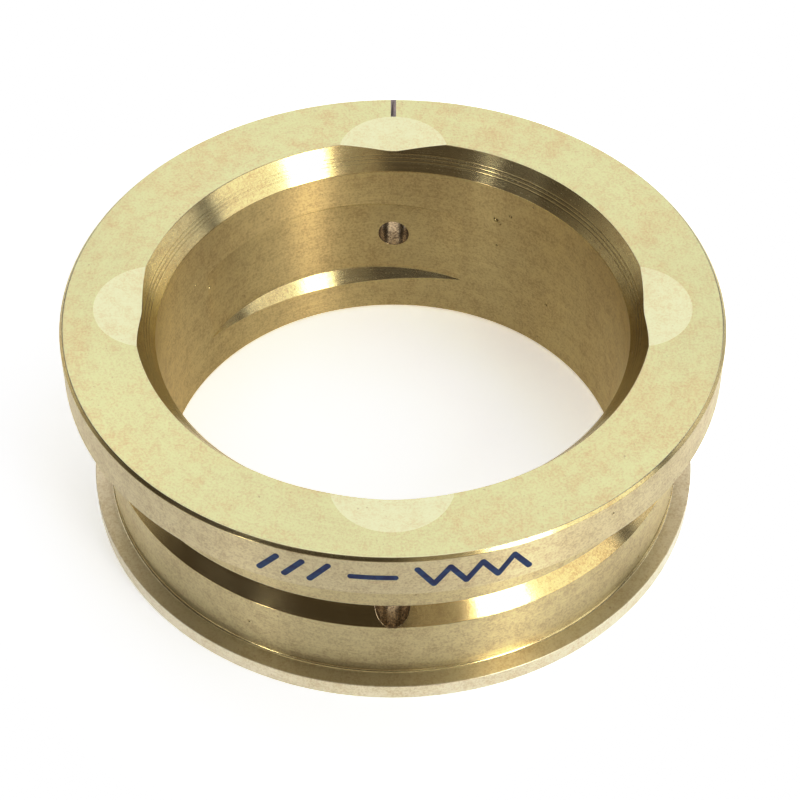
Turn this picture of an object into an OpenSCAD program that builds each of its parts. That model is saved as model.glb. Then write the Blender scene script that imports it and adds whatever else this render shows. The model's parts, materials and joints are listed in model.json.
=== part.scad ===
// Flanged bronze sleeve bushing, turned from one casting.
// The bore axis is Z. The bottom face lies on z = 0 and the flange is at the top.
// The two oil holes lie along Y, one at the front (-Y) and one at the back (+Y).

/* [Flange] */
// Outside diameter of the flange
flange_d = 160; // [155:0.5:170]
// Thickness of the flange
flange_t = 12; // [9:0.5:14]
// Edge break round the flange's top edge
flange_break = 0.8; // [0.2:0.1:1.5]
// Edge break round the flange's lower edge
flange_foot_break = 0.4; // [0.1:0.1:1]

/* [Sleeve] */
// Overall height from the bottom face to the flange's top face
total_h = 55; // [52:0.5:65]
// Outside diameter of the lands that sit in the housing
land_d = 143.6; // [140:0.2:146]
// Outside diameter of the bottom lip
lip_d = 152; // [149:0.5:154]
// Height of the bottom lip
lip_t = 4.6; // [3:0.1:6]
// Edge break round the lip's lower edge
lip_break = 0.35; // [0.1:0.05:0.8]
// Height of the undercut that frees the corner above the lip
relief_h = 3; // [1:0.1:4]
// Depth of that undercut below the land
relief_depth = 0.4; // [0.1:0.05:1]

/* [Bore] */
// Bore diameter
bore_d = 115; // [112:0.5:117]
// Radial width of the lead-in chamfer at the top of the bore
lead_w = 4.6; // [2:0.1:5.5]
// Height of that chamfer
lead_h = 6.5; // [3:0.5:8]
// Chamfer at the bottom of the bore
bore_foot = 1; // [0.5:0.1:2]

/* [Oil groove and holes] */
// Height of the groove's centre line above the bottom face
groove_z = 25.2; // [20:0.2:32]
// Width of the vee groove at the land's surface
groove_w = 8; // [4:0.5:10]
// Flat left at the root of the vee
groove_root = 0.6; // [0.2:0.1:1.5]
// Diameter of the two radial oil holes
oil_hole_d = 8; // [4:0.5:10]

/* [Oil pockets in the bore] */
// Radius of the cutter that sweeps each pocket
pocket_r = 48.5; // [47.5:0.5:49]
// How far that cutter's centre is set off the bore axis
pocket_shift = 12; // [11.5:0.5:12.5]
// Direction of the back pocket's middle, from +X
pocket_angle = 109; // [90:1:120]
// Lowest point of a pocket at the bore's surface
pocket_low = 9.9; // [7:0.1:14]
// Highest point of a pocket at the bore's surface
pocket_high = 38.2; // [34:0.1:42]

/* [Scallops in the top face] */
// Number of scallops round the bore
scallop_count = 4; // [2:1:6]
// Radius of a scallop where it meets the top face
scallop_r = 14.1; // [8:0.1:16]
// Distance from the bore axis to a scallop's centre
scallop_at = 58; // [56:0.5:60]
// Depth of a scallop at its centre
scallop_depth = 2.6; // [1:0.1:4]

/* [Ink marks] */
// Width of a marker pen's line on the rim
marker_w = 1.4; // [0.6:0.1:1.6]
// Width of the witness tick on the top face
tick_w = 1.3; // [0.8:0.1:2]
// Length of the witness tick, inwards from the rim
tick_len = 7; // [4:0.5:7.5]
// Thickness of the dried ink, and depth of the scribed tick that it fills
ink_t = 0.05; // [0.03:0.01:0.1]

/* [Hidden] */

$fn = 180;
flange_r = flange_d / 2;
land_r = land_d / 2;
lip_r = lip_d / 2;
bore_r = bore_d / 2;
lead_r = bore_r + lead_w;
relief_r = land_r - relief_depth;
groove_depth = (groove_w - groove_root) / 2;
pocket_count = 2;
// The pocket's end walls slope at 45 degrees and run on past the bore's surface.
pocket_depth = pocket_shift + pocket_r - bore_r;
pocket_run_out = 1;
// Marker lines on the rim: each is a run of points, as degrees round from the
// front (to the right) and millimetres above the rim's middle.
marker_z = total_h - flange_t / 2;
marker_rise = 2.6;
tally_count = 3;
tally_start = -21.5;
tally_step = 4.2;
tally_lean = 3;
dash_start = -6.5;
dash_run = 7;
zigzag_count = 8;
zigzag_start = 4;
zigzag_step = 2.6;
MARKER_LINES = concat(
    [for (i = [0 : tally_count - 1])
        [[tally_start + i * tally_step, -marker_rise],
         [tally_start + i * tally_step + tally_lean, marker_rise]]],
    [[[dash_start, 0], [dash_start + dash_run, 0]]],
    [[for (i = [0 : zigzag_count - 1])
        [zigzag_start + i * zigzag_step, marker_rise * (i % 2 == 0 ? 1 : -1)]]]
);

// The turned outline, from the bore's foot out and up round the outside.
module turned_outline() {
    polygon([
        [bore_r + bore_foot, 0],
        [lip_r - lip_break, 0],
        [lip_r, lip_break],
        [lip_r, lip_t],
        [relief_r, lip_t],
        [relief_r, lip_t + relief_h - relief_depth],
        [land_r, lip_t + relief_h],
        [land_r, groove_z - groove_w / 2],
        [land_r - groove_depth, groove_z - groove_root / 2],
        [land_r - groove_depth, groove_z + groove_root / 2],
        [land_r, groove_z + groove_w / 2],
        [land_r, total_h - flange_t],
        [flange_r - flange_foot_break, total_h - flange_t],
        [flange_r, total_h - flange_t + flange_foot_break],
        [flange_r, total_h - flange_break],
        [flange_r - flange_break, total_h],
        [lead_r, total_h],
        [bore_r, total_h - lead_h],
        [bore_r, bore_foot]
    ]);
}

// One shallow cone, point down, sunk in the top face.
module scallop() {
    overcut = 1;
    slope = scallop_r / scallop_depth;
    translate([scallop_at, 0, total_h - scallop_depth])
        cylinder(r1 = 0, r2 = scallop_r + overcut * slope, h = scallop_depth + overcut);
}

// The off-centre cutter for one oil pocket, with its top and bottom corners sloped.
module pocket_cutter() {
    slope = pocket_depth + pocket_run_out;
    translate([pocket_shift, 0, 0])
        rotate_extrude()
            polygon([
                [0, pocket_low - pocket_run_out],
                [pocket_r - slope, pocket_low - pocket_run_out],
                [pocket_r, pocket_low + pocket_depth],
                [pocket_r, pocket_high - pocket_depth],
                [pocket_r - slope, pocket_high + pocket_run_out],
                [0, pocket_high + pocket_run_out]
            ]);
}

module bushing() {
    color("#c9b884")
    difference() {
        rotate_extrude() turned_outline();
        for (i = [0 : scallop_count - 1])
            rotate([0, 0, i * 360 / scallop_count]) scallop();
        for (i = [0 : pocket_count - 1])
            rotate([0, 0, pocket_angle + i * 360 / pocket_count]) pocket_cutter();
        translate([0, 0, groove_z])
            rotate([90, 0, 0])
                cylinder(d = oil_hole_d, h = flange_d, center = true);
        tick_scribe(overcut = 1);
    }
}

// The shallow scribed line across the top face at the back, over the rear oil hole.
module tick_scribe(overcut) {
    translate([-tick_w / 2, flange_r - flange_break - tick_len, total_h - ink_t])
        cube([tick_w, tick_len, ink_t + overcut]);
}

// The ink that fills the scribed line, level with the top face.
module witness_tick() {
    color("#6b6470") tick_scribe(overcut = 0);
}

// One straight marker line with round ends, wrapped on the rim.
module marker_line(from, to) {
    middle = (from[0] + to[0]) / 2;
    run = flange_r * (to[0] - from[0]) * PI / 180;
    rise = to[1] - from[1];
    length = norm([run, rise]);
    rotate([0, 0, middle])
        translate([0, 0, marker_z + (from[1] + to[1]) / 2])
            rotate([90, 0, 0])
                linear_extrude(height = flange_d)
                    rotate([0, 0, atan2(rise, run)]) {
                        square([length, marker_w], center = true);
                        for (side = [-1, 1])
                            translate([side * length / 2, 0]) circle(d = marker_w);
                    }
}

module marker_strokes() {
    color("#26386e")
    intersection() {
        translate([0, 0, marker_z - flange_t / 2])
            difference() {
                cylinder(r = flange_r + ink_t, h = flange_t);
                translate([0, 0, -flange_t]) cylinder(r = flange_r, h = 3 * flange_t);
            }
        for (line = MARKER_LINES, i = [0 : len(line) - 2])
            marker_line(line[i], line[i + 1]);
    }
}

bushing();
witness_tick();
marker_strokes();
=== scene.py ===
import json
import math

import bmesh
import bpy
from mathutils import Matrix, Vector


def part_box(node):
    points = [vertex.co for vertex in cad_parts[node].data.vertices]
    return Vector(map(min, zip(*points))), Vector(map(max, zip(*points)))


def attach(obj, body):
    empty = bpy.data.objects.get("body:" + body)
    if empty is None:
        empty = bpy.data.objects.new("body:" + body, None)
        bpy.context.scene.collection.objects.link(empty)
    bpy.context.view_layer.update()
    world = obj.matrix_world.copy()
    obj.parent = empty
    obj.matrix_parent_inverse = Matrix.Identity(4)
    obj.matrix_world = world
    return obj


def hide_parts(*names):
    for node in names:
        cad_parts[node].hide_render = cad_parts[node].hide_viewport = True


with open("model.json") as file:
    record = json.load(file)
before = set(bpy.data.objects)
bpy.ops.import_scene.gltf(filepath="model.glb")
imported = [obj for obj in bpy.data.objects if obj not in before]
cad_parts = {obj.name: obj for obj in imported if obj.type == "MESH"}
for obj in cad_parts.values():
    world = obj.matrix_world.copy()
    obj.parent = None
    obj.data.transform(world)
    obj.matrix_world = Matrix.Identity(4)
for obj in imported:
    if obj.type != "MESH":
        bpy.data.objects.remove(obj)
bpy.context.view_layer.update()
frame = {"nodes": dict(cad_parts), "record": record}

MM = 0.001

# ---------------------------------------------------------------- sizes, in millimetres
low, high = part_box("bushing")
FLANGE_R = round(high[0] / MM, 1)
TOTAL_H = round(high[2] / MM, 1)
mounts = {mount["name"]: mount for mount in frame["record"]["mounts"]}
BORE_R = mounts["shaft_bore"]["dims"]["r_mm"]
FLANGE_FOOT = mounts["flange_seat"]["pos_m"][2] / MM

FLANGE_BREAK = 0.8
FLANGE_FOOT_BREAK = 0.4
LAND_R = 71.8
LIP_R = 76.0
LIP_T = 4.6
LIP_BREAK = 0.35
RELIEF_H = 3.0
RELIEF_DEPTH = 0.4
RELIEF_R = LAND_R - RELIEF_DEPTH
LIP_FILLET = 0.7
LEAD_W = 4.6
LEAD_H = 6.5
BORE_FOOT = 1.0
GROOVE_Z = 25.2
GROOVE_W = 8.0
GROOVE_ROOT = 0.6
GROOVE_DEPTH = (GROOVE_W - GROOVE_ROOT) / 2
OIL_HOLE_R = 4.0
POCKET_R = 48.5
POCKET_SHIFT = 12.0
POCKET_ANGLES = (109, 289)
POCKET_LOW = 9.9
POCKET_HIGH = 38.2
POCKET_SLOPE = 4.0
SCALLOP_ANGLES = (0, 90, 180, 270)
SCALLOP_R = 14.1
SCALLOP_AT = 58.0
SCALLOP_DEPTH = 2.6

# Hairlines that the tool left: half their width, their depth, and where they run.
HAIRLINE_HALF = 0.2
HAIRLINE_DEPTH = 0.044
LAND_HAIRLINE_Z = 9.7
RIM_HAIRLINE_Z = 45.0
LEAD_HAIRLINES = (0.44, 0.56, 0.68)

# Pores in the casting: radius from the axis, angle, height, and size of each hollow.
PORES = (
    (BORE_R, 62.2, 37.8, 0.75), (BORE_R, 61.0, 36.9, 0.45),
    (BORE_R, 57.9, 40.7, 0.5), (BORE_R, 61.8, 29.1, 0.4),
    (BORE_R, 51.4, 47.2, 0.4), (BORE_R, 45.3, 16.6, 0.45),
    (BORE_R, 145.5, 30.5, 0.6), (BORE_R, 151.1, 35.9, 0.35),
    (LAND_R, -118.0, 13.4, 0.4), (LAND_R, -33.9, 9.0, 0.5),
    (FLANGE_R, -52.0, 51.0, 0.35), (FLANGE_R, 31.0, 47.5, 0.45),
    (BORE_R, 214.0, 22.0, 0.55), (BORE_R, 318.0, 34.0, 0.5),
)
STEPS_ROUND = 360


# ---------------------------------------------------------------- small tools for the bench
def select_only(*pieces):
    bpy.ops.object.select_all(action="DESELECT")
    for piece in pieces:
        piece.select_set(True)
    bpy.context.view_layer.objects.active = pieces[0]


def new_piece(name):
    piece = bpy.context.active_object
    piece.name = name
    piece.data.name = name
    return piece


def settle(piece):
    """Puts a piece's place, turn and size into its mesh."""
    select_only(piece)
    bpy.ops.object.transform_apply(location=True, rotation=True, scale=True)


def join(pieces, name):
    select_only(*pieces)
    bpy.ops.object.join()
    return new_piece(name)


def on_circle(radius, angle, height):
    turn = math.radians(angle)
    return Vector((radius * math.cos(turn), radius * math.sin(turn), height)) * MM


def select_edges_between(piece, least, most=180.0, where=None):
    """Selects edges whose two faces turn through an angle in this range, in degrees.

    With where, only edges whose middle it accepts, as x, y and z in millimetres."""
    bm = bmesh.from_edit_mesh(piece.data)
    for edge in bm.edges:
        middle = (edge.verts[0].co + edge.verts[1].co) / 2 / MM
        angle = math.degrees(edge.calc_face_angle(0.0))
        edge.select_set(least < angle < most and (where is None or where(*middle)))
    bmesh.update_edit_mesh(piece.data)


def break_edges(piece, least, width, segments, where=None):
    select_edges_between(piece, least, where=where)
    bpy.ops.mesh.bevel(offset=width * MM, segments=segments, affect="EDGES", clamp_overlap=False)


def drop_idle_corners(piece):
    """Dissolves corners where only two edges meet. Both faces would fold a triangle over there."""
    bm = bmesh.from_edit_mesh(piece.data)
    idle = [corner for corner in bm.verts if len(corner.link_edges) == 2]
    bmesh.ops.dissolve_verts(bm, verts=idle)
    bmesh.update_edit_mesh(piece.data)


def cut_away(piece, cutter):
    cut = piece.modifiers.new("cut", "BOOLEAN")
    cut.operation = "DIFFERENCE"
    cut.solver = "EXACT"
    cut.object = cutter
    select_only(piece)
    bpy.ops.object.modifier_apply(modifier=cut.name)
    bpy.data.objects.remove(cutter)


# ---------------------------------------------------------------- the turned bronze body
def hairline(from_point, to_point, middle):
    """Three points that dip a fine vee into the line between two corners of the section."""
    along = Vector(to_point) - Vector(from_point)
    centre = Vector(from_point) + along * middle
    along.normalize()
    inwards = Vector((-along.y, along.x))
    return [
        tuple(centre - along * HAIRLINE_HALF),
        tuple(centre + inwards * HAIRLINE_DEPTH),
        tuple(centre + along * HAIRLINE_HALF),
    ]


def turned_outline():
    """Corners of the turned section as (radius, height), from the bore's foot out and round."""
    root_r = LAND_R - GROOVE_DEPTH
    land_foot = (LAND_R, LIP_T + RELIEF_H)
    groove_foot = (LAND_R, GROOVE_Z - GROOVE_W / 2)
    rim_foot = (FLANGE_R, FLANGE_FOOT + FLANGE_FOOT_BREAK)
    rim_top = (FLANGE_R, TOTAL_H - FLANGE_BREAK)
    lead_top = (BORE_R + LEAD_W, TOTAL_H)
    lead_foot = (BORE_R, TOTAL_H - LEAD_H)
    land_part = (LAND_HAIRLINE_Z - land_foot[1]) / (groove_foot[1] - land_foot[1])
    rim_part = (RIM_HAIRLINE_Z - rim_foot[1]) / (rim_top[1] - rim_foot[1])
    lead_lines = []
    for part in LEAD_HAIRLINES:
        lead_lines += hairline(lead_top, lead_foot, part)
    return [
        (BORE_R + BORE_FOOT, 0),
        (LIP_R - LIP_BREAK, 0),
        (LIP_R, LIP_BREAK),
        (LIP_R, LIP_T),
        (RELIEF_R, LIP_T),
        (RELIEF_R, LIP_T + RELIEF_H - RELIEF_DEPTH),
        land_foot,
        *hairline(land_foot, groove_foot, land_part),
        groove_foot,
        (root_r, GROOVE_Z - GROOVE_ROOT / 2),
        (root_r, GROOVE_Z + GROOVE_ROOT / 2),
        (LAND_R, GROOVE_Z + GROOVE_W / 2),
        (LAND_R, FLANGE_FOOT),
        (FLANGE_R - FLANGE_FOOT_BREAK, FLANGE_FOOT),
        rim_foot,
        *hairline(rim_foot, rim_top, rim_part),
        rim_top,
        (FLANGE_R - FLANGE_BREAK, TOTAL_H),
        lead_top,
        *lead_lines,
        lead_foot,
        (BORE_R, POCKET_HIGH + 0.5),
        (BORE_R, POCKET_LOW - 0.5),
        (BORE_R, BORE_FOOT),
    ]


def turn_ring(name, outline):
    """Draws an edge loop out along the outline until it closes on itself."""
    first_r, first_z = outline[0]
    bpy.ops.mesh.primitive_circle_add(
        vertices=STEPS_ROUND, radius=first_r * MM, location=(0, 0, first_z * MM))
    ring = new_piece(name)
    settle(ring)
    bpy.ops.object.mode_set(mode="EDIT")
    bpy.ops.mesh.select_mode(type="EDGE")
    bpy.ops.mesh.select_all(action="SELECT")
    for (from_r, from_z), (to_r, to_z) in zip(outline, outline[1:] + outline[:1]):
        bpy.ops.mesh.extrude_edges_move(
            TRANSFORM_OT_translate={"value": (0, 0, (to_z - from_z) * MM)})
        bpy.ops.transform.resize(
            value=(to_r / from_r, to_r / from_r, 1), center_override=(0, 0, to_z * MM))
    bpy.ops.mesh.select_all(action="SELECT")
    bpy.ops.mesh.remove_doubles(threshold=0.002 * MM)
    bpy.ops.mesh.normals_make_consistent(inside=False)
    return ring


def scallop_cutter():
    overcut = 1.0
    spread = SCALLOP_R * (SCALLOP_DEPTH + overcut) / SCALLOP_DEPTH
    middle_z = TOTAL_H - SCALLOP_DEPTH + (SCALLOP_DEPTH + overcut) / 2
    cones = []
    for angle in SCALLOP_ANGLES:
        bpy.ops.mesh.primitive_cone_add(
            vertices=180, radius1=0, radius2=spread * MM, depth=(SCALLOP_DEPTH + overcut) * MM,
            location=on_circle(SCALLOP_AT, angle, middle_z))
        cones.append(bpy.context.active_object)
    return join(cones, "scallop_cutter")


def pocket_cutter(angle):
    run_out = 1.0
    bpy.ops.mesh.primitive_cylinder_add(
        vertices=360, radius=POCKET_R * MM, depth=(POCKET_HIGH - POCKET_LOW + 2 * run_out) * MM,
        location=on_circle(POCKET_SHIFT, angle, (POCKET_HIGH + POCKET_LOW) / 2))
    disc = new_piece("pocket_cutter")
    bpy.ops.object.mode_set(mode="EDIT")
    break_edges(disc, 60, POCKET_SLOPE, 1)
    bpy.ops.object.mode_set(mode="OBJECT")
    return disc


def oil_hole_cutter():
    bpy.ops.mesh.primitive_cylinder_add(
        vertices=96, radius=OIL_HOLE_R * MM, depth=3 * FLANGE_R * MM,
        location=(0, 0, GROOVE_Z * MM), rotation=(math.radians(90), 0, 0))
    return new_piece("oil_hole_cutter")


def pore_cutter():
    """Small balls that sink half their depth into the bronze, one for each pore."""
    balls = []
    for radius, angle, height, size in PORES:
        bpy.ops.mesh.primitive_ico_sphere_add(
            subdivisions=2, radius=size * MM, location=on_circle(radius, angle, height))
        balls.append(bpy.context.active_object)
    return join(balls, "pore_cutter")


def at_lip_corner(x, y, z):
    return abs(math.hypot(x, y) - RELIEF_R) < 0.05 and abs(z - LIP_T) < 0.05


def at_scallop_crest(x, y, z):
    return TOTAL_H - SCALLOP_DEPTH < z < TOTAL_H - 0.01 and math.hypot(x, y) < BORE_R + LEAD_W


def at_oil_hole(x, y, z):
    return math.hypot(x, z - GROOVE_Z) < OIL_HOLE_R + 0.02


def make_bushing():
    body = turn_ring("bronze_bushing", turned_outline())
    break_edges(body, 60, LIP_FILLET, 6, at_lip_corner)
    break_edges(body, 60, 0.2, 6)
    break_edges(body, 30, 0.15, 3)
    bpy.ops.object.mode_set(mode="OBJECT")
    for angle in POCKET_ANGLES:
        cut_away(body, pocket_cutter(angle))
    cut_away(body, scallop_cutter())
    cut_away(body, oil_hole_cutter())
    bpy.ops.object.mode_set(mode="EDIT")
    break_edges(body, 26, 0.07, 2, at_scallop_crest)
    break_edges(body, 26, 0.15, 3, at_oil_hole)
    bpy.ops.object.mode_set(mode="OBJECT")
    cut_away(body, pore_cutter())
    bpy.ops.object.mode_set(mode="EDIT")
    bpy.ops.mesh.select_all(action="SELECT")
    bpy.ops.mesh.dissolve_degenerate(threshold=0.004 * MM)
    drop_idle_corners(body)
    bpy.ops.mesh.normals_make_consistent(inside=False)
    bpy.ops.mesh.mark_sharp(clear=True)
    select_edges_between(body, 5, 13)
    bpy.ops.mesh.mark_sharp()
    select_edges_between(body, 33)
    bpy.ops.mesh.mark_sharp()
    bpy.ops.object.mode_set(mode="OBJECT")
    select_only(body)
    bpy.ops.object.shade_smooth()
    even = body.modifiers.new("even normals", "WEIGHTED_NORMAL")
    even.keep_sharp = True
    bpy.ops.object.modifier_apply(modifier=even.name)
    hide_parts("bushing")
    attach(body, "root")
    return body


# ---------------------------------------------------------------- finishes
class Finish:
    """One material, with short calls that add a node to its tree and wire it up."""

    def __init__(self, name):
        self.material = bpy.data.materials.new(name)
        self.material.use_nodes = True
        self.tree = self.material.node_tree
        self.shader = self.tree.nodes["Principled BSDF"]

    def add(self, kind, **settings):
        node = self.tree.nodes.new(kind)
        for setting, value in settings.items():
            setattr(node, setting, value)
        return node

    def feed(self, socket, value):
        if isinstance(value, bpy.types.NodeSocket):
            self.tree.links.new(value, socket)
        elif isinstance(value, tuple) and len(value) < len(socket.default_value):
            socket.default_value = (*value, 1)
        else:
            socket.default_value = value

    def calc(self, operation, *values):
        node = self.add("ShaderNodeMath", operation=operation)
        for socket, value in zip(node.inputs, values):
            self.feed(socket, value)
        return node.outputs[0]

    def product(self, first, *others):
        for other in others:
            first = self.calc("MULTIPLY", first, other)
        return first

    def place(self):
        """Object coordinates in millimetres."""
        node = self.add("ShaderNodeVectorMath", operation="SCALE")
        self.feed(node.inputs[0], self.add("ShaderNodeTexCoord").outputs["Object"])
        node.inputs["Scale"].default_value = 1 / MM
        return node.outputs[0]

    def split(self, vector):
        node = self.add("ShaderNodeSeparateXYZ")
        self.feed(node.inputs[0], vector)
        return node.outputs

    def step(self, value, start, end, low=0.0, high=1.0):
        """Goes smoothly from low to high as the value goes from start to end."""
        node = self.add("ShaderNodeMapRange", interpolation_type="SMOOTHSTEP")
        for socket, number in zip(node.inputs, (value, start, end, low, high)):
            self.feed(socket, number)
        return node.outputs[0]

    def noise(self, place, scale, detail, roughness, seed):
        node = self.add("ShaderNodeTexNoise", noise_dimensions="4D")
        self.feed(node.inputs["Vector"], place)
        self.feed(node.inputs["W"], seed)
        node.inputs["Scale"].default_value = scale
        node.inputs["Detail"].default_value = detail
        node.inputs["Roughness"].default_value = roughness
        return node.outputs["Fac"]

    def mix(self, factor, first, second):
        node = self.add("ShaderNodeMix", data_type="RGBA")
        self.feed(node.inputs[0], factor)
        self.feed(node.inputs[6], first)
        self.feed(node.inputs[7], second)
        return node.outputs[2]

    def bump(self, height, rise, normal=None):
        """Raises the surface by up to this many millimetres where the height is 1."""
        node = self.add("ShaderNodeBump")
        node.inputs["Distance"].default_value = rise * MM
        self.feed(node.inputs["Height"], height)
        if normal is not None:
            self.feed(node.inputs["Normal"], normal)
        return node.outputs[0]


def bronze(name, clean, tarnished, grimy, gloss, lay, grime=0.3, oiled=0.0):
    """Bronze as one tool left it, in the colours given, some of which hold painted light. gloss is its
    roughness, lay how far its marks run round, and oiled the share of a thin film of oil, which pales
    it where it turns away."""
    finish = Finish(name)
    place = finish.place()
    x, y, z = finish.split(place)
    radius = finish.calc("SQRT", finish.calc("ADD", finish.product(x, x), finish.product(y, y)))

    # Broad clouds and blotches of tarnish, fine grain, and the marks of the tool.
    clouds = finish.noise(place, 0.05, 3.0, 0.6, seed=3.4)
    blotches = finish.noise(place, 0.3, 4.0, 0.7, seed=7.1)
    grain = finish.noise(place, 1.6, 3.0, 0.75, seed=1.3)
    specks = finish.step(finish.noise(place, 1.0, 2.0, 0.5, seed=5.2), 0.68, 0.78)
    around = finish.add("ShaderNodeCombineXYZ")
    finish.feed(around.inputs[0], finish.calc("DIVIDE", x, radius))
    finish.feed(around.inputs[1], finish.calc("DIVIDE", y, radius))
    finish.feed(around.inputs[2], finish.calc("MULTIPLY", radius, 0.9))
    marks = finish.noise(around.outputs[0], 2.0, 3.0, 0.75, seed=finish.calc("MULTIPLY", z, 1.8))

    # Colour.
    cloudy = finish.calc("ADD", finish.product(clouds, 0.6), finish.product(blotches, 0.4))
    warm = finish.step(cloudy, 0.42, 0.62)
    grainy = finish.step(finish.calc("ADD", finish.product(grain, 0.7), finish.product(blotches, 0.3)),
                         0.44, 0.62)
    stain = finish.calc("ADD", finish.product(warm, grainy, 0.6), finish.product(warm, 0.4))
    colour = finish.mix(stain, clean, tarnished)
    colour = finish.mix(finish.product(grainy, grime), colour, grimy)
    colour = finish.mix(finish.product(finish.step(marks, 0.35, 0.7), 0.5 * lay * grime), colour, grimy)
    colour = finish.mix(finish.product(specks, 0.9 * grime), colour, (0.34, 0.2, 0.11))
    finish.feed(finish.shader.inputs["Base Color"], colour)

    # Gloss.
    worn = finish.step(grain, 0.3, 0.7, gloss - 0.02, gloss + 0.03)
    finish.feed(finish.shader.inputs["Roughness"],
                finish.calc("ADD", worn, finish.product(finish.step(marks, 0.3, 0.7), 0.05)))
    finish.shader.inputs["Metallic"].default_value = 1.0
    finish.shader.inputs["Coat Weight"].default_value = oiled
    finish.shader.inputs["Coat Roughness"].default_value = 0.3
    finish.shader.inputs["Anisotropic"].default_value = lay
    finish.shader.inputs["Anisotropic Rotation"].default_value = 0.25
    tangent = finish.add("ShaderNodeVectorMath", operation="CROSS_PRODUCT")
    tangent.inputs[0].default_value = (0, 0, 1)
    finish.feed(tangent.inputs[1], place)
    finish.feed(finish.shader.inputs["Tangent"], tangent.outputs[0])

    # Relief too fine to cut: tool marks and grain.
    raised = finish.bump(marks, 0.006 * lay)
    finish.feed(finish.shader.inputs["Normal"], finish.bump(grain, 0.01 * grime, raised))
    return finish.material


def bronze_finishes():
    """Every finish on the one casting, by the name of its zone. Some zones' colours hold painted light
    and painted shade besides the bronze's own tone, as noted at each.
    """
    return {
        "turned": bronze("turned_bronze", (0.76, 0.69, 0.45), (0.68, 0.59, 0.365),
                         (0.50, 0.40, 0.24), gloss=0.40, lay=0.9, grime=0.42, oiled=0.3),
        # Painted light: the rim is coloured a little paler than the land, for the white floor that it
        # reflects. Its grain and blotches are the bronze's own.
        "rimmed": bronze("rim_bronze", (0.76, 0.695, 0.49), (0.69, 0.605, 0.40),
                         (0.52, 0.425, 0.265), gloss=0.40, lay=0.88, grime=0.42, oiled=0.4),
        # Painted light: the faced top and the scallops are coloured paler and more greenish-yellow than
        # the rest. They are lit copies of the bronze, with the bright back wall's reflection painted
        # in. Their grain, blotches and specks are the bronze's own.
        "faced_lit": bronze("faced_lit_bronze", (0.745, 0.755, 0.535), (0.74, 0.675, 0.455),
                        (0.64, 0.52, 0.35), gloss=0.30, lay=0.5, grime=0.3),
        "scalloped_lit": bronze("scalloped_lit_bronze", (0.81, 0.82, 0.65), (0.785, 0.765, 0.575),
                            (0.72, 0.62, 0.46), gloss=0.36, lay=0.3, grime=0.25),
        "chamfered": bronze("chamfered_bronze", (0.75, 0.69, 0.44), (0.69, 0.60, 0.365),
                            (0.55, 0.44, 0.25), gloss=0.21, lay=0.65, grime=0.3),
        "grooved": bronze("grooved_bronze", (0.77, 0.68, 0.42), (0.71, 0.595, 0.335),
                          (0.54, 0.42, 0.21), gloss=0.18, lay=0.6, grime=0.35),
        "bored": bronze("bored_bronze", (0.82, 0.705, 0.405), (0.74, 0.605, 0.33),
                        (0.53, 0.41, 0.21), gloss=0.46, lay=0.95, grime=0.4),
        # Painted light: the lip is coloured paler and greyer than the land, for the white floor beside
        # it. Its grain and blotches are the bronze's own.
        "floor_lit_lip": bronze("floor_lit_lip_bronze", (0.82, 0.78, 0.655), (0.76, 0.70, 0.54),
                         (0.58, 0.49, 0.33), gloss=0.33, lay=0.45, grime=0.35, oiled=0.5),
        # Painted shade: the oil holes' walls are coloured much darker than the bronze, and blotched
        # toward near black where the grain noise runs high, for the shade inside the holes.
        "shaded_hole": bronze("shaded_hole_bronze", (0.68, 0.58, 0.42), (0.50, 0.37, 0.22),
                          (0.18, 0.13, 0.08), gloss=0.24, lay=0.0, grime=0.8),
    }


def zone_at(x, y, z, normal):
    """The name of the zone that a face belongs to, by its middle in millimetres and its normal."""
    radius = math.hypot(x, y)
    # Painted shade: the oil holes' walls get the dark bronze.
    if math.hypot(x, z - GROOVE_Z) < OIL_HOLE_R + 0.12 and abs(normal.y) < 0.9:
        return "shaded_hole"
    # Painted light: the top face and the scallop floors get the pale, lit copies of the bronze.
    if normal.z > 0.9 and z > TOTAL_H - 0.02:
        return "faced_lit"
    if normal.z > 0.9 and z > TOTAL_H - SCALLOP_DEPTH - 0.1:
        return "scalloped_lit"
    if radius < BORE_R + LEAD_W and z > TOTAL_H - LEAD_H:
        return "chamfered"
    if radius > FLANGE_R - FLANGE_BREAK and z > TOTAL_H - FLANGE_BREAK and 0.1 < normal.z < 0.98:
        return "chamfered"
    if LAND_R - GROOVE_DEPTH - 0.1 < radius < LAND_R - 0.02 and abs(z - GROOVE_Z) < GROOVE_W / 2:
        return "grooved"
    if radius < POCKET_R + POCKET_SHIFT + 0.1 and normal.x * x + normal.y * y < 0:
        return "chamfered" if abs(normal.z) > 0.3 and z > POCKET_LOW - 0.5 else "bored"
    if radius < RELIEF_R + LIP_FILLET and z < LIP_T + LIP_FILLET and 0.1 < normal.z < 0.98:
        return "chamfered"
    # Painted light: the lip gets the pale, greyer bronze.
    if radius > LAND_R and z < LIP_T + 0.1:
        return "floor_lit_lip"
    # Painted light: the rim gets the paler bronze.
    if radius > LAND_R and z > FLANGE_FOOT:
        return "rimmed"
    return "turned"


def coat_zones(piece, finishes):
    piece.data.materials.clear()
    for finish in finishes.values():
        piece.data.materials.append(finish)
    order = list(finishes)
    for face in piece.data.polygons:
        face.material_index = order.index(zone_at(*(face.center / MM), face.normal))


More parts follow.
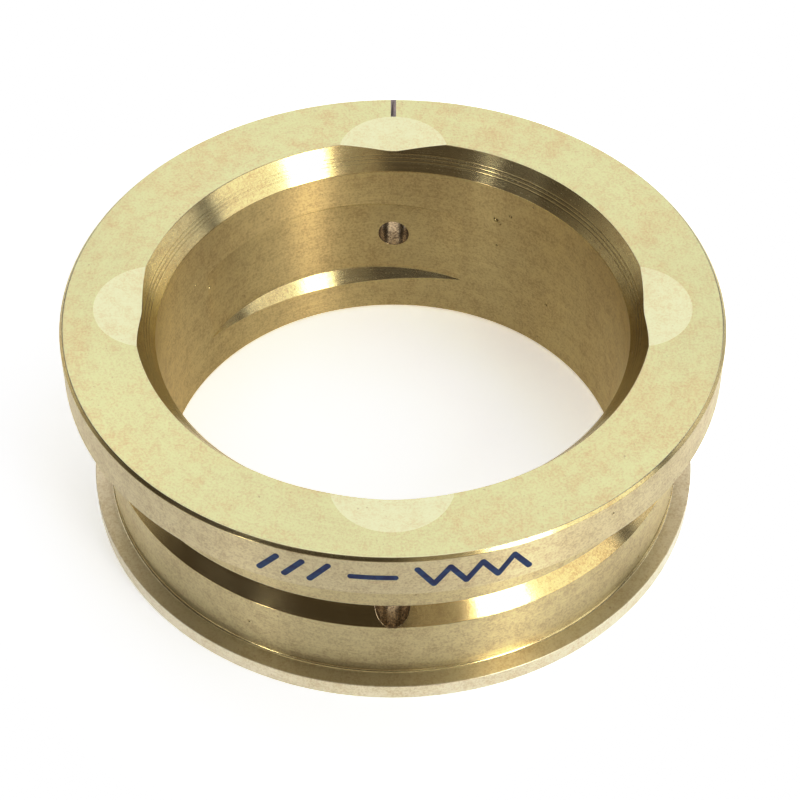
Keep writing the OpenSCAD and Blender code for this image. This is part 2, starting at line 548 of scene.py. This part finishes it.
def ink(name, thin, thick):
    finish = Finish(name)
    place = finish.place()
    pooled = finish.step(finish.noise(place, 0.5, 2.0, 0.5, seed=2.0), 0.35, 0.65)
    worn = finish.step(finish.noise(place, 2.5, 3.0, 0.7, seed=4.0), 0.55, 0.8)
    colour = finish.mix(pooled, thin, thick)
    finish.feed(finish.shader.inputs["Base Color"], finish.mix(finish.product(worn, 0.3), colour, thin))
    finish.feed(finish.shader.inputs["Roughness"], finish.step(pooled, 0.0, 1.0, 0.5, 0.32))
    finish.feed(finish.shader.inputs["Normal"], finish.bump(pooled, 0.02))
    return finish.material


def coat(piece, material):
    piece.data.materials.clear()
    piece.data.materials.append(material)


# ---------------------------------------------------------------- studio
# Distances here are in metres: how far off the panels stand, and the floor's radius.
PANEL_AWAY = 1.3
FLOOR_R = 1.2
# The camera's place in metres, how far it looks down in degrees, and its lens and sensor in mm.
CAMERA_AT = (0.00173, -0.40039, 0.43416)
CAMERA_DOWN = 45.8
CAMERA_LENS = 103
CAMERA_SENSOR = 36
# Each pair is a shade in the scene and how light it prints.
CONTRAST = ((0.15, 0.08), (0.35, 0.24), (0.5, 0.4), (0.65, 0.62), (0.8, 0.88), (0.92, 1.0))


def make_floor():
    bpy.ops.mesh.primitive_circle_add(vertices=128, radius=FLOOR_R, fill_type="NGON")
    floor = new_piece("floor")
    material = bpy.data.materials.new("white_sweep")
    material.use_nodes = True
    shader = material.node_tree.nodes["Principled BSDF"]
    shader.inputs["Base Color"].default_value = (0.86, 0.9, 0.97, 1)
    shader.inputs["Roughness"].default_value = 0.9
    shader.inputs["Specular IOR Level"].default_value = 0.1
    shader.inputs["Emission Color"].default_value = (1, 1, 1, 1)
    shader.inputs["Emission Strength"].default_value = 0.4
    coat(floor, material)


def add_panel(name, turn, lift, width, height, glow, colour=(1, 1, 1)):
    """A soft panel that faces the bushing from this azimuth and elevation, in degrees."""
    around, up = math.radians(turn), math.radians(lift)
    offset = Vector((math.cos(around) * math.cos(up), math.sin(around) * math.cos(up), math.sin(up)))
    data = bpy.data.lights.new(name, "AREA")
    data.shape = "RECTANGLE"
    data.size = width
    data.size_y = height
    data.energy = glow * math.pi * width * height
    data.color = colour
    lamp = bpy.data.objects.new(name, data)
    lamp.location = Vector((0, 0, TOTAL_H / 2 * MM)) + offset * PANEL_AWAY
    lamp.rotation_euler = offset.to_track_quat("Z", "Y").to_euler()
    lamp.visible_camera = False
    bpy.context.collection.objects.link(lamp)


def add_window(name, turns, lifts, glow, colour=(1, 1, 1)):
    """A panel that fills these azimuths and elevations, seen from the bushing."""
    lift = sum(lifts) / 2
    half_turn = math.radians(turns[1] - turns[0]) / 2
    half_lift = math.radians(lifts[1] - lifts[0]) / 2
    width = 2 * PANEL_AWAY * math.tan(half_turn) * math.cos(math.radians(lift))
    add_panel(name, sum(turns) / 2, lift, width, 2 * PANEL_AWAY * math.tan(half_lift), glow, colour)


def make_room():
    """A dim room that the bronze reflects, behind a pale backdrop that only the camera sees."""
    world = bpy.data.worlds.new("studio")
    bpy.context.scene.world = world
    world.use_nodes = True
    tree = world.node_tree
    room = tree.nodes["Background"]
    room.inputs["Color"].default_value = (0.075, 0.053, 0.028, 1)
    backdrop = tree.nodes.new("ShaderNodeBackground")
    backdrop.inputs["Color"].default_value = (0.9, 0.9, 0.91, 1)
    seen = tree.nodes.new("ShaderNodeLightPath")
    either = tree.nodes.new("ShaderNodeMixShader")
    tree.links.new(seen.outputs["Is Camera Ray"], either.inputs[0])
    tree.links.new(room.outputs[0], either.inputs[1])
    tree.links.new(backdrop.outputs[0], either.inputs[2])
    tree.links.new(either.outputs[0], tree.nodes["World Output"].inputs["Surface"])


def set_contrast():
    """A gentle S curve, as a print has: deeper shades, and a floor that goes to white."""
    view = bpy.context.scene.view_settings
    view.view_transform = "Standard"
    view.use_curve_mapping = True
    curve = view.curve_mapping.curves[3]
    for shade, printed in CONTRAST:
        curve.points.new(shade, printed)
    view.curve_mapping.extend = "HORIZONTAL"
    view.curve_mapping.update()


def make_studio():
    make_floor()
    make_room()
    add_window("bright_window", (-59, -43), (8, 48), 4.6)
    add_window("window_edge", (-84, -60), (8, 46), 0.4, (1, 0.9, 0.7))
    add_window("right_window", (-42, -5), (4, 50), 1.1)
    add_window("right_wall", (0, 40), (3, 32), 0.85)
    add_window("back_wall", (60, 118), (2, 60), 0.94)
    add_window("back_left_window", (122, 152), (30, 58), 0.9)
    add_window("back_right_window", (25, 50), (32, 56), 1.1)
    add_window("left_strip", (225, 230.5), (2, 23), 5.0)
    add_window("left_window", (203, 219), (6, 21), 0.55)
    add_window("left_wall", (140, 222), (-1, 16), 0.52, (1, 0.92, 0.75))
    add_window("left_shelf", (138, 185), (-1, 8), 0.35)
    add_window("front_wall", (233, 283), (0, 27), 0.32, (1, 0.85, 0.6))
    add_panel("ceiling", 0, 90, 1.5, 1.5, 0.9)
    set_contrast()


def make_camera():
    data = bpy.data.cameras.new("camera")
    data.lens = CAMERA_LENS
    data.sensor_width = CAMERA_SENSOR
    camera = bpy.data.objects.new("camera", data)
    camera.location = CAMERA_AT
    camera.rotation_euler = (math.radians(90 - CAMERA_DOWN), 0, 0)
    bpy.context.collection.objects.link(camera)
    bpy.context.scene.camera = camera


bushing = make_bushing()
coat_zones(bushing, bronze_finishes())
coat(frame["nodes"]["marker_strokes"], ink("blue_ink", (0.03, 0.075, 0.19), (0.008, 0.02, 0.11)))
coat(frame["nodes"]["witness_tick"], ink("grey_ink", (0.62, 0.52, 0.52), (0.42, 0.36, 0.37)))
make_studio()
make_camera()
